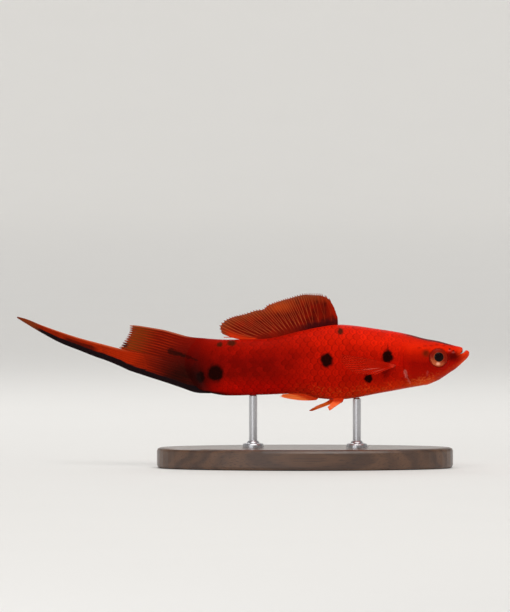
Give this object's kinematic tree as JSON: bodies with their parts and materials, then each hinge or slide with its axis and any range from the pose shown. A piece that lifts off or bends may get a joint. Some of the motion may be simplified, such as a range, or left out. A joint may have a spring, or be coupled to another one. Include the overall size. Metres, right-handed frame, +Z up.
{
  "type": "swordtail fish model",
  "caption": "Life-size male swordtail, swimming, red with black spots and a long tail sword, held over an oval base by two rods.",
  "frame": {"origin": "middle of the display stand's flat underside", "axes": "+X towards the fish's snout, +Y to the fish's left, +Z up"},
  "size_m": [0.1103, 0.036, 0.0426],
  "materials": {
    "skin": "satin painted scales",
    "fin": "translucent with raised rays",
    "sword": "orange red with a black lower edge",
    "eye": "polished, orange iris and black pupil",
    "stand_wood": "oiled dark wood",
    "stand_rod": "brushed"
  },
  "bodies": {
    "root": {"head": "skin", "torso": "skin", "tail_peduncle": "skin", "eye_left": "eye", "eye_right": "eye", "dorsal_fin": "fin", "caudal_fin": "fin", "sword": "sword", "pectoral_fin_left": "fin", "pectoral_fin_right": "fin", "pelvic_fin_left": "fin", "pelvic_fin_right": "fin", "anal_fin": "fin", "stand_base": "stand_wood", "stand_rod_front": "stand_rod", "stand_rod_rear": "stand_rod"}
  },
  "joints": []
}
